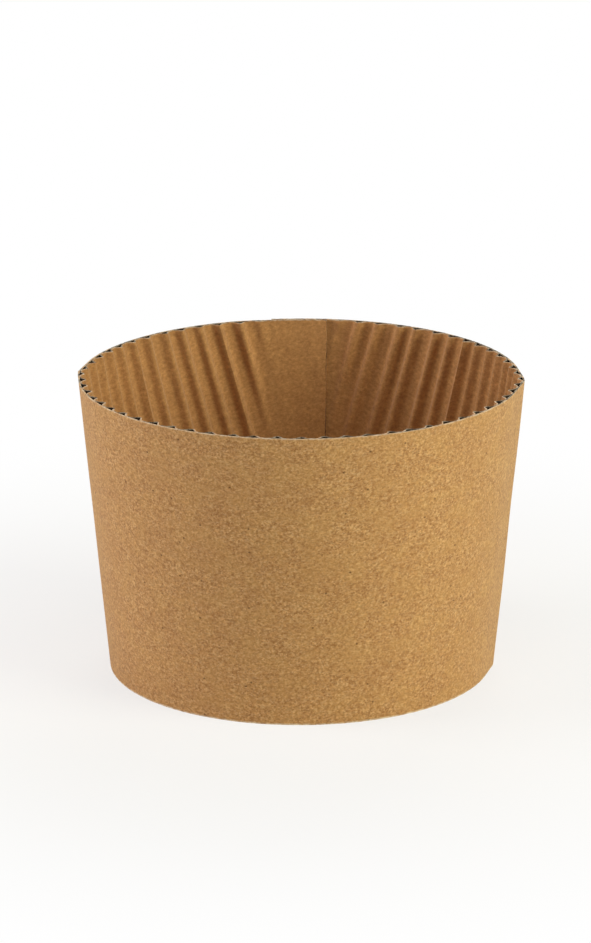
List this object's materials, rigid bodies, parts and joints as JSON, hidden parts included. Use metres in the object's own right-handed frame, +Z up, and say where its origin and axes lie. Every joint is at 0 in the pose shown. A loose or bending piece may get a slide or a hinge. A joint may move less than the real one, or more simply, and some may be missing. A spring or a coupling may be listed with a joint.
{
  "type": "coffee cup sleeve",
  "caption": "Conical kraft corrugated sleeve that slides up round a takeaway cup, with inner flutes, two fold creases and a glued back seam.",
  "frame": {"origin": "middle of the lower, narrower rim", "axes": "+Z up along the cone's axis to the wider rim, -Y towards the front, the lap seam at +Y"},
  "size_m": [0.0839, 0.084, 0.056],
  "materials": {
    "kraft_board": "uncoated natural kraft, matt, fine mottled fibres"
  },
  "bodies": {
    "root": {"sleeve": "kraft_board"}
  },
  "joints": []
}
